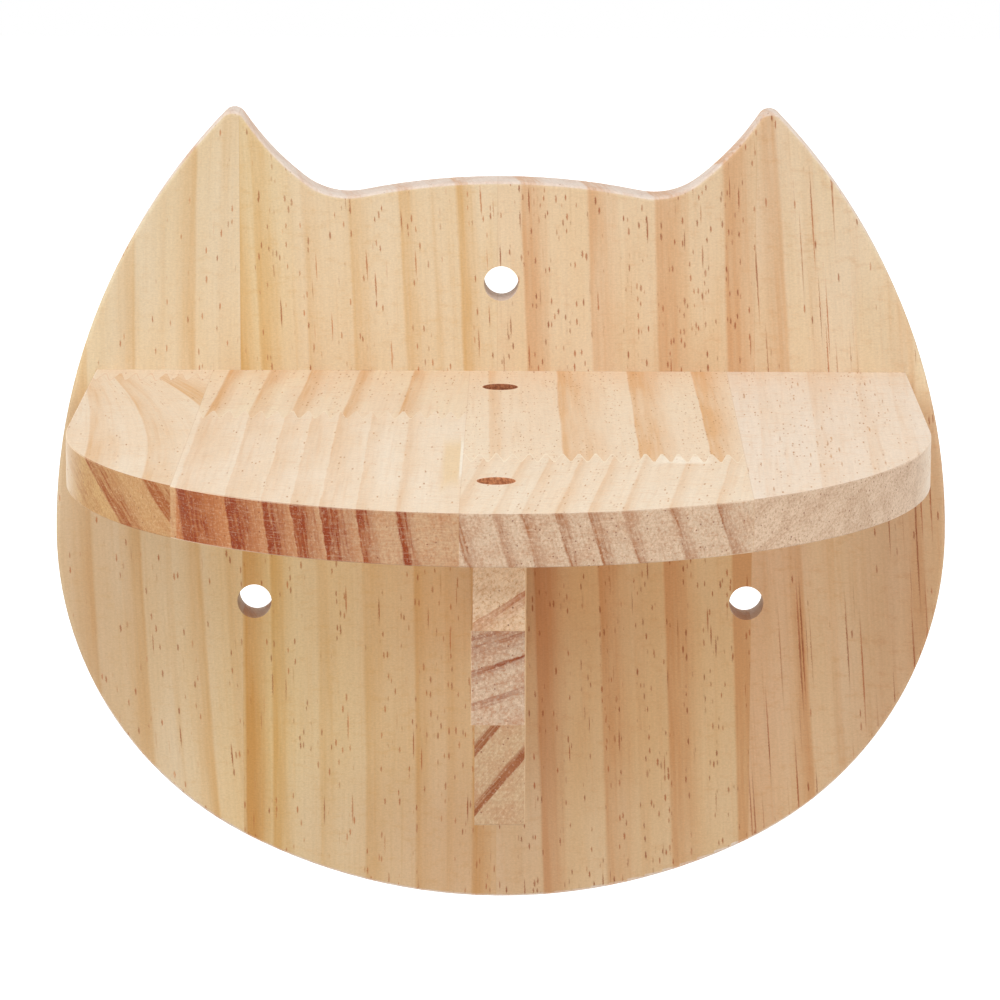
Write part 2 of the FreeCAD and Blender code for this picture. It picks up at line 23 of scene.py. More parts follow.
# Places of the part's own edges and joints
PLATE_FRONT = -16.0
SHELF_TOP = 56.3
SHELF_UNDERSIDE = 40.5
RIB_FRONT = -238.0
STAVE_WIDTH = 86.0
PLATE_GLUE_SHIFT = -1.2
SHELF_GLUE_SHIFT = -10.4
RIB_GLUE_LEVELS = (17.4, -11.1)
FINGERS_PER_STAVE = 17
FINGER_PITCH = STAVE_WIDTH / FINGERS_PER_STAVE
FINGER_LENGTH = 12.0
FINGER_TIP = 0.7
BORE_RADIUS = 5.7

# Cells of the wood's noise textures: across the rings, through the board and along the grain
SLOW_CELL = (26.0, 26.0, 70.0)
RIPPLE_CELL = (3.0, 3.0, 16.0)
FIBRE_CELL = (0.9, 0.9, 30.0)
FINE_CELL = (0.32, 0.32, 3.0)
MOTTLE_CELL = (1.0, 1.0, 0.55)
BLOTCH_CELL = (13.0, 13.0, 60.0)
STREAK_CELL = (1.6, 1.6, 45.0)
FIGURE_CELL = (5.0, 5.0, 2.4)
COLUMN_CELL = (3.0, 30.0, 130.0)
LAYER_CELL = (0.7, 12.0, 12.0)

# Cells of the end grain's noise textures along X, Y and Z. The saw marks depend on the axis of the grain.
CLOUD_CELL = (7.0, 7.0, 7.0)
DOT_CELL = (1.3, 1.3, 1.3)
SAWN_CELLS = {"Y": (7.0, 7.0, 0.3), "Z": (7.0, 0.3, 7.0)}

# Cells of the steel's noise textures
TURNED_CELL = (0.25, 0.25, 0.25)
STAIN_CELL = (1.6, 1.6, 1.6)

# How far each board's noises are moved by one step of its seed
SEED_STEP = (137.0, 71.0, 193.0)

# The share of its strength that a ring has where its hold ends, and the least distance between ramp stops
HELD_LEVEL = 0.72
LEAST_STEP = 0.01

# The half width of a glue line, from full to nothing
GLUE_CORE = 0.08
GLUE_REACH = 0.22

# Below the shelf, painted shade: how much stronger the rings are, and the ranges of Y and Z over which it
# fades out
PAINTED_SHADE_RINGS = 0.2
FRONT_ONLY = (PLATE_FRONT + 1.0, PLATE_FRONT + 12.0)
FOOT_LEVELS = (-105.0, -65.0)

# The range of Z over which the marks on the shelf's top set in
TOP_ONLY = (SHELF_TOP - 3.0, SHELF_TOP - 1.0)

# Gloss of bare wood, and the depths of the bumps
WOOD_SPECULAR = 0.22
WOOD_BUMP = 0.05
STEEL_BUMP = 0.02


def colour(red, green, blue):
    """A colour from its screen values of 0 to 255, as the linear values that a shader takes."""
    values = []
    for value in (red, green, blue):
        share = value / 255
        values.append(share / 12.92 if share <= 0.04045 else ((share + 0.055) / 1.055) ** 2.4)
    return (*values, 1.0)


# Materials

class Graph:
    """The node tree of one material, built by plain calls."""

    def __init__(self, name):
        self.material = bpy.data.materials.new(name)
        self.material.use_nodes = True
        self.tree = self.material.node_tree
        self.tree.nodes.clear()

    def add(self, kind, inputs=None, **settings):
        """A node, with each input linked or set to a value."""
        node = self.tree.nodes.new(kind)
        for key, value in settings.items():
            setattr(node, key, value)
        for key, value in (inputs or {}).items():
            if isinstance(value, bpy.types.NodeSocket):
                self.tree.links.new(value, node.inputs[key])
            else:
                node.inputs[key].default_value = value
        return node

    def math(self, operation, first, second=0.0, third=0.0, clamp=False):
        inputs = {0: first, 1: second, 2: third}
        return self.add("ShaderNodeMath", inputs, operation=operation, use_clamp=clamp).outputs[0]

    def chain(self, operation, values):
        """One operation over all the values, from the first to the last."""
        result = values[0]
        for value in values[1:]:
            result = self.math(operation, result, value)
        return result

    def total(self, *values):
        return self.chain("ADD", values)

    def product(self, *values):
        return self.chain("MULTIPLY", values)

    def greatest(self, *values):
        return self.chain("MAXIMUM", values)

    def off(self, value, centre):
        """The distance of a value from a centre."""
        return self.math("ABSOLUTE", self.math("SUBTRACT", value, centre))

    def vector(self, operation, first, second):
        return self.add("ShaderNodeVectorMath", {0: first, 1: second}, operation=operation)

    def scaled(self, vector, lengths):
        """A vector divided by three lengths, so that a texture's cell has those lengths."""
        return self.vector("DIVIDE", vector, lengths).outputs[0]

    def place(self):
        """The place in the part's frame, in millimetres."""
        return self.scaled(self.add("ShaderNodeTexCoord").outputs["Object"], (MM, MM, MM))

    def step(self, value, low, high, to_low=0.0, to_high=1.0):
        """A smooth step from one level to another."""
        inputs = {"Value": value, "From Min": low, "From Max": high, "To Min": to_low, "To Max": to_high}
        return self.add("ShaderNodeMapRange", inputs, interpolation_type="SMOOTHSTEP").outputs[0]

    def mix(self, factor, first, second, blend="MIX"):
        inputs = {0: factor, 6: first, 7: second}
        return self.add("ShaderNodeMix", inputs, data_type="RGBA", blend_type=blend).outputs[2]

    def noise(self, vector, detail=2.0, roughness=0.5):
        inputs = {"Vector": vector, "Scale": 1.0, "Detail": detail, "Roughness": roughness}
        return self.add("ShaderNodeTexNoise", inputs).outputs[0]

    def cells(self, vector):
        """Distance to the nearest of some scattered points, and a random value of that point."""
        node = self.add("ShaderNodeTexVoronoi", {"Vector": vector, "Scale": 1.0})
        random = self.add("ShaderNodeSeparateColor", {0: node.outputs["Color"]})
        return node.outputs["Distance"], random.outputs[0]

    def ramp(self, value, stops, *covered):
        """A ramp through stops of (value, level) or (value, colour) that also reaches the covered values."""
        reach = (stops[0][0], stops[-1][0], *covered)
        low, high = min(reach) - 1, max(reach) + 1
        share = self.math("DIVIDE", self.math("SUBTRACT", value, low), high - low)
        node = self.add("ShaderNodeValToRGB", {0: share})
        ramp = node.color_ramp
        while len(ramp.elements) < len(stops):
            ramp.elements.new(1.0)
        for element, (place, level) in zip(ramp.elements, stops):
            element.position = (place - low) / (high - low)
            element.color = (*level[:3], 1.0) if isinstance(level, tuple) else (level, level, level, 1.0)
        return node.outputs[0]

    def grey(self, level):
        return self.add("ShaderNodeCombineColor", {0: level, 1: level, 2: level}).outputs[0]

    def finish(self, base, roughness, height, depth, **inputs):
        bump = self.add("ShaderNodeBump", {"Strength": 1.0, "Distance": depth * MM, "Height": height})
        sockets = {"Base Color": base, "Roughness": roughness, "Normal": bump.outputs[0], **inputs}
        shader = self.add("ShaderNodeBsdfPrincipled", sockets)
        self.add("ShaderNodeOutputMaterial", {"Surface": shader.outputs[0]})
        return self.material


def ring_stops(rings, quiet, hold, sharp):
    """Ramp stops of growth rings, each (place, strength, fade).

    From its sharp edge a ring holds for a share of the length "fade" and has faded away at the end of it. It
    fades to the right, or to the left where that length is negative.
    """
    stops = []
    for place, strength, fade in sorted(rings):
        ring = [
            (place - math.copysign(sharp, fade), quiet),
            (place + math.copysign(sharp, fade), strength),
            (place + hold * fade, quiet + HELD_LEVEL * (strength - quiet)),
            (place + fade, quiet),
        ]
        stops += sorted(ring)
    for number in range(1, len(stops)):
        stops[number] = (max(stops[number][0], stops[number - 1][0] + LEAST_STEP), stops[number][1])
    return stops


class Pine:
    """Solid pine: growth rings, fibres, resin flecks and end grain, all functions of the place in the board.

    grain is the axis along the fibres, across the direction in which the rings follow each other at origin.
    """

    def __init__(self, name, grain, across, origin, rings, **options):
        self.look = look = dict(LOOK, **options)
        self.graph = graph = Graph(name)
        self.grain = grain
        self.place = graph.place()
        self.split = graph.add("ShaderNodeSeparateXYZ", {0: self.place}).outputs

        # The place as rings, depth and length, and the same moved by the board's seed for its noises
        bent = self.bent_rings(across, origin)
        board_place = {0: bent, 1: self.split[look["depth"]], 2: self.split[grain]}
        self.board_place = graph.add("ShaderNodeCombineXYZ", board_place).outputs[0]
        shift = tuple(look["seed"] * step for step in SEED_STEP)
        self.seeded = graph.vector("ADD", self.board_place, shift).outputs[0]
        self.ripple = self.noise(RIPPLE_CELL, 3.0)
        self.fibre = self.noise(FIBRE_CELL, 3.0, 0.6)
        self.fine = self.noise(FINE_CELL, 2.0, 0.6)
        self.mottle = self.noise(MOTTLE_CELL, 3.0, 0.75)
        self.blotch = self.noise(BLOTCH_CELL, 2.0)
        self.streak = self.noise(STREAK_CELL, 2.0, 0.6)

        self.in_front = self.at_foot = self.painted_shade = None
        # Painted shade of the shelf: a mask that is 1 on the front face below the shelf, eased towards the
        # foot by the board's own share
        if look["below"]:
            self.in_front = graph.step(self.split["Y"], *FRONT_ONLY, 1.0, 0.0)
            self.at_foot = graph.step(self.split["Z"], *FOOT_LEVELS, 1.0, 0.0)
            under = graph.step(self.split["Z"], SHELF_UNDERSIDE, SHELF_TOP, 1.0, 0.0)
            faded = graph.math("MULTIPLY_ADD", self.at_foot, look["below_foot"] - 1.0, 1.0)
            self.painted_shade = graph.product(under, self.in_front, faded)
        self.ring = self.ring_strength(bent, rings)

    def noise(self, cell, detail, roughness=0.5):
        return self.graph.noise(self.graph.scaled(self.seeded, cell), detail, roughness)

    def centred(self, noise):
        """A noise as its distance above or below its mean."""
        return self.graph.math("SUBTRACT", noise, 0.5)

    def bent_rings(self, across, origin):
        """The coordinate that the rings follow, bent along the grain by (centre, amount, fan, fan ring).

        With a fan, each ring bends more than the one before it, and the fan ring bends by the plain amount.
        """
        graph = self.graph
        offset = graph.vector("SUBTRACT", self.place, origin).outputs[0]
        straight = graph.vector("DOT_PRODUCT", offset, across).outputs["Value"]
        centre, amount, fan, fan_ring = self.look["bow"]
        from_centre = graph.math("SUBTRACT", self.split[self.grain], centre)
        bend = graph.product(from_centre, from_centre, amount)
        bent = graph.math("MULTIPLY_ADD", bend, 1.0 - fan * fan_ring, straight)
        if fan:
            bent = graph.math("DIVIDE", bent, graph.math("MULTIPLY_ADD", bend, -fan, 1.0))
        return bent

    def ring_strength(self, bent, rings):
        """How dark the rings are, with a slow wander and a fine ripple, and a little uneven."""
        graph, look = self.graph, self.look
        wander = graph.total(
            graph.product(self.centred(self.noise(SLOW_CELL, 1.0)), 2 * look["wander"]),
            graph.product(self.centred(self.ripple), look["ripple"]),
        )
        stops = ring_stops(rings, look["quiet"], look["hold"], look["edge"])
        ring = graph.ramp(graph.total(bent, wander), stops, *look["span"])
        patchy = graph.step(self.blotch, 0.25, 0.75, 0.75, 1.2)
        ring = graph.product(ring, patchy, graph.step(self.streak, 0.25, 0.75, 0.78, 1.18))
        # Below the shelf the rings are painted darker too, as part of the painted shade
        if look["below"]:
            ring = graph.product(ring, graph.math("MULTIPLY_ADD", self.painted_shade, PAINTED_SHADE_RINGS, 1.0))
        return ring

    def flecks(self):
        """Resin flecks of each family, in columns."""
        graph = self.graph
        column = graph.step(self.noise(COLUMN_CELL, 1.0), 0.41, 0.5)
        bent = graph.math("MULTIPLY_ADD", self.mottle, 0.7, -0.35)
        bent = graph.add("ShaderNodeCombineXYZ", {0: bent}).outputs[0]
        place = graph.vector("ADD", self.seeded, bent).outputs[0]
        found = []
        for width, length, share, size in self.look["flecks"]:
            near, random = graph.cells(graph.scaled(place, (width, width, length)))
            keep = graph.product(graph.math("GREATER_THAN", random, 1.0 - share), column)
            reach = graph.math("MULTIPLY_ADD", random, 0.8 * size, 0.5 * size)
            fleck = graph.step(graph.math("DIVIDE", near, reach), 0.45, 1.1, 1.0, 0.0)
            found.append(graph.product(fleck, keep))
        return graph.product(graph.greatest(*found), graph.step(self.fine, 0.25, 0.6, 0.45, 1.0))

    def patched(self, face):
        """Patches of glue on the shelf's top, each (x, y, half width, half length, colour, strength)."""
        graph = self.graph
        on_top = graph.step(self.split["Z"], *TOP_ONLY)
        uneven = graph.product(self.centred(self.blotch), 1.2)
        for x, y, half_width, half_length, tint, strength in self.look["patches"]:
            off_x = graph.math("DIVIDE", graph.off(self.split["X"], x), half_width)
            off_y = graph.math("DIVIDE", graph.off(self.split["Y"], y), half_length)
            reach = graph.total(graph.greatest(off_x, off_y), uneven)
            face = graph.mix(graph.product(graph.step(reach, 0.55, 1.15, strength, 0.0), on_top), face, tint)
        return face

    def face(self, flecks):
        """The faces along the grain, with flecks, glue patches, tones over the board's width, and painted
        shade below the shelf.
        """
        graph, look = self.graph, self.look
        early = graph.mix(graph.step(self.blotch, 0.3, 0.7), look["early"], look["early_warm"])
        early = graph.mix(graph.step(self.streak, 0.5, 0.8, 0.0, 0.2), early, look["late"])
        figure = graph.step(self.noise(FIGURE_CELL, 3.0, 0.65), 0.48, 0.78, 0.0, look["figure"])
        early = graph.mix(figure, early, look["late"])
        depth = graph.math("MULTIPLY", self.ring, look["face_contrast"], clamp=True)
        face = graph.mix(depth, early, look["late"])
        tint = graph.mix(graph.step(self.streak, 0.35, 0.65), look["fleck"], look["fleck_dark"])
        face = self.patched(graph.mix(graph.product(flecks, look["fleck_strength"]), face, tint))
        if look["tones"]:
            face = graph.mix(1.0, face, graph.ramp(self.split["X"], look["tones"]), "MULTIPLY")
        # Painted shade of the shelf on the front face, then the foot's own tint
        if look["below"]:
            face = graph.mix(self.painted_shade, face, graph.ramp(self.split["X"], look["below"]), "MULTIPLY")
            foot = graph.product(self.at_foot, self.in_front)
            face = graph.mix(foot, face, (*look["foot"], 1.0), "MULTIPLY")
        return face

    def end(self, pores, sawn):
        """The end grain, darker where the fibres end in latewood, with fine layers, pores and saw marks."""
        graph, look = self.graph, self.look
        layers = graph.noise(graph.scaled(self.board_place, LAYER_CELL), 2.0, 0.6)
        depth = graph.math("MULTIPLY", self.ring, look["end_contrast"])
        depth = graph.product(depth, graph.step(layers, 0.25, 0.75, 0.55, 1.4))
        depth = graph.total(depth, graph.step(layers, 0.5, 0.8, 0.0, look["layers"]))
        early = graph.ramp(self.split["X"], look["end_tones"]) if look["end_tones"] else look["end_early"]
        end = graph.mix(graph.math("MINIMUM", depth, 1.0), early, look["end_late"])
        tint, light = look["speckle_tint"], look["speckle_light"]
        cloud = graph.noise(graph.scaled(self.place, CLOUD_CELL), 2.0)
        end = graph.mix(graph.step(cloud, 0.4, 0.75, 0.0, 0.35), end, tint)
        end = graph.mix(graph.step(pores, 0.47, 0.68, 0.0, look["speckle"]), end, tint)
        end = graph.mix(graph.step(pores, 0.3, 0.5, 0.8 * look["speckle"], 0.0), end, light)
        end = graph.mix(graph.step(sawn, 0.54, 0.76, 0.0, look["sawn"]), end, light)
        end = graph.mix(graph.step(sawn, 0.26, 0.46, look["sawn"], 0.0), end, tint)
        near, random = graph.cells(graph.scaled(self.place, DOT_CELL))
        dot = graph.product(graph.step(near, 0.14, 0.26, 1.0, 0.0), graph.step(random, look["dot_keep"], 1.0))
        return graph.mix(graph.product(dot, 0.8), end, look["dot"])

    def at_end(self):
        """How far a surface faces along the grain."""
        graph = self.graph
        normal = graph.add("ShaderNodeNewGeometry").outputs["Normal"]
        axis = tuple(float(axis == self.grain) for axis in "XYZ")
        facing = graph.math("ABSOLUTE", graph.vector("DOT_PRODUCT", normal, axis).outputs["Value"])
        return graph.step(facing, self.look["end_from"], self.look["end_from"] + 0.3)

    def glue_line(self):
        """How far a place belongs to a glue line between staves or between the rib's strips."""
        graph, look = self.graph, self.look
        offs = [graph.off(self.split["Z"], level) for level in look["glue_levels"]]
        if look["glue_shift"] is not None:
            across = graph.math("SUBTRACT", self.split["X"], look["glue_shift"])
            offs.append(graph.math("PINGPONG", across, STAVE_WIDTH / 2))
        return graph.greatest(*[graph.step(off, GLUE_CORE, GLUE_REACH, look["glue"], 0.0) for off in offs])

    def finger_line(self):
        """How far a place belongs to the joint between the fingers of two lengths of stave."""
        graph = self.graph
        start, depth, width, strength = self.look["finger"]
        local = graph.math("PINGPONG", graph.math("SUBTRACT", self.split["X"], start), FINGER_PITCH / 2)
        flank = graph.math("SUBTRACT", local, FINGER_TIP / 2)
        share = graph.math("DIVIDE", flank, FINGER_PITCH / 2 - FINGER_TIP, clamp=True)
        tips = PLATE_FRONT - depth + FINGER_LENGTH / 2
        off = graph.off(self.split["Y"], graph.math("MULTIPLY_ADD", share, -FINGER_LENGTH, tips))
        uneven = graph.math("MULTIPLY_ADD", self.ripple, -3.0 * width, 1.5 * width)
        return graph.step(graph.total(off, uneven), 0.3 * width, width, strength, 0.0)

    def drilled(self, base):
        """The walls of drilled holes, each (x, y, colour, darker colour)."""
        graph = self.graph
        for x, y, tint, dark in self.look["bores"]:
            off = graph.vector("SUBTRACT", self.place, (x, y, 0.0)).outputs[0]
            flat = graph.vector("MULTIPLY", off, (1.0, 1.0, 0.0)).outputs[0]
            radius = graph.vector("LENGTH", flat, (0.0, 0.0, 0.0)).outputs["Value"]
            wall = graph.mix(graph.step(self.mottle, 0.35, 0.65), tint, dark)
            inside = graph.step(radius, BORE_RADIUS + 0.05, BORE_RADIUS + 0.25, 1.0, 0.0)
            base = graph.mix(inside, base, wall)
        return base

    def material(self):
        graph, look = self.graph, self.look
        flecks = self.flecks()
        pores = graph.noise(graph.scaled(self.place, (look["pore"],) * 3), 4.0, 0.75)
        sawn = graph.noise(graph.scaled(self.place, SAWN_CELLS[self.grain]), 2.0, 0.7)
        ends = self.at_end()
        base = graph.mix(ends, self.face(flecks), self.end(pores, sawn))
        base = graph.mix(self.glue_line(), base, look["glue_tint"])
        if look["finger"]:
            base = graph.mix(self.finger_line(), base, look["finger_tint"])
        base = self.drilled(base)
        tone = graph.total(
            graph.product(self.centred(self.fibre), -look["fibre"]),
            graph.product(self.centred(self.fine), -0.7 * look["fibre"]),
            graph.product(self.centred(self.mottle), -look["mottle"]),
            1.0,
        )
        base = graph.mix(1.0, base, graph.grey(tone), "MULTIPLY")

        rough = graph.total(graph.product(self.fine, 0.18), graph.product(ends, 0.12), 0.52)
        height = graph.total(
            graph.product(self.fibre, 0.5),
            graph.product(self.fine, 0.5),
            graph.product(flecks, -0.4),
            graph.product(ends, pores, 1.2),
            graph.product(ends, sawn, 0.6),
        )
        return graph.finish(base, rough, height, WOOD_BUMP, **{"Specular IOR Level": WOOD_SPECULAR})


# Families of flecks: (width of a cell, length of a cell, share of cells kept, size in its cell)
FEW = (1.1, 5.0, 0.12, 0.26)
SOME = (1.1, 5.0, 0.35, 0.26)
MANY = (1.0, 4.0, 0.85, 0.26)

# What a board looks like where neither its family nor its own entry says anything else
LOOK = {
    # Growth rings: the axis through the board, their bow, how uneven they are, the level between them, the
    # share of the fade that they hold, the half width of the sharp edge, and the range of the ring coordinate
    "depth": "Z",
    "bow": (0.0, 0.0, 0.0, 0.0),
    "seed": 0.0,
    "wander": 0.5,
    "ripple": 0.7,
    "quiet": 0.06,
    "hold": 0.4,
    "edge": 0.2,
    "span": (-1.0, 1.0),
    # Faces along the grain: earlywood, latewood, tones over X on the whole face, and painted shade over X
    # below the shelf
    "early": colour(232, 203, 167),
    "early_warm": colour(230, 199, 160),
    "late": colour(209, 162, 112),
    "face_contrast": 1.0,
    "figure": 0.3,
    "tones": (),
    "below": (),
    "below_foot": 1.0,
    "foot": (1.0, 1.0, 1.0),
    # End grain: how far a surface has to face along the grain, its woods, specks, saw marks, layers and dots
    "end_from": 0.45,
    "end_early": colour(222, 194, 170),
    "end_tones": (),
    "end_late": colour(176, 100, 64),
    "end_contrast": 1.0,
    "speckle": 0.4,
    "speckle_tint": colour(170, 118, 82),
    "speckle_light": colour(232, 204, 178),
    "sawn": 0.3,
    "pore": 0.8,
    "layers": 0.25,
    "dot": colour(120, 66, 44),
    "dot_keep": 0.8,
    # Resin flecks, glue patches and drilled holes
    "fleck": colour(196, 132, 88),
    "fleck_dark": colour(164, 100, 64),
    "flecks": (SOME,),
    "fleck_strength": 0.9,
    "patches": (),
    "bores": (),
    # Glue lines and finger joints
    "glue_shift": None,
    "glue_levels": (),
    "glue": 0.18,
    "glue_tint": colour(190, 146, 100),
    "finger": None,
    "finger_tint": colour(246, 230, 206),
    # Strength of the fine shading
    "fibre": 0.13,
    "mottle": 0.42,
}

# What the boards of each family share
PLATE = dict(
    grain="Z", depth="Y", origin=(0.0, PLATE_FRONT, 0.0), glue_shift=PLATE_GLUE_SHIFT,
    edge=0.5, end_from=0.3, end_early=colour(230, 215, 203), end_late=colour(216, 175, 143),
    speckle=0.15, sawn=0.2,
    speckle_tint=colour(205, 165, 140), speckle_light=colour(242, 228, 216), dot_keep=0.95,
)
SHELF = dict(
    grain="Y", depth="Z", origin=(0.0, 0.0, SHELF_TOP), glue_shift=SHELF_GLUE_SHIFT,
    early=colour(237, 219, 196), early_warm=colour(236, 214, 188), late=colour(218, 171, 124),
    fleck=colour(206, 158, 112), fleck_dark=colour(182, 128, 86),
)
RIB = dict(
    grain="Y", depth="X", origin=(0.0, RIB_FRONT, 0.0), glue_levels=RIB_GLUE_LEVELS,
    sawn=0.12, speckle=0.7,
    early=colour(222, 191, 152), early_warm=colour(219, 186, 145), late=colour(198, 150, 102),
)

# X of the left edges of the shelf's first three staves, from which their fingers are counted
SHELF_STARTS = [SHELF_GLUE_SHIFT + step * STAVE_WIDTH for step in (-2, -1, 0)]


def board(family, **options):
    """What is special about one board, added to what its family shares."""
    return {**family, **options}


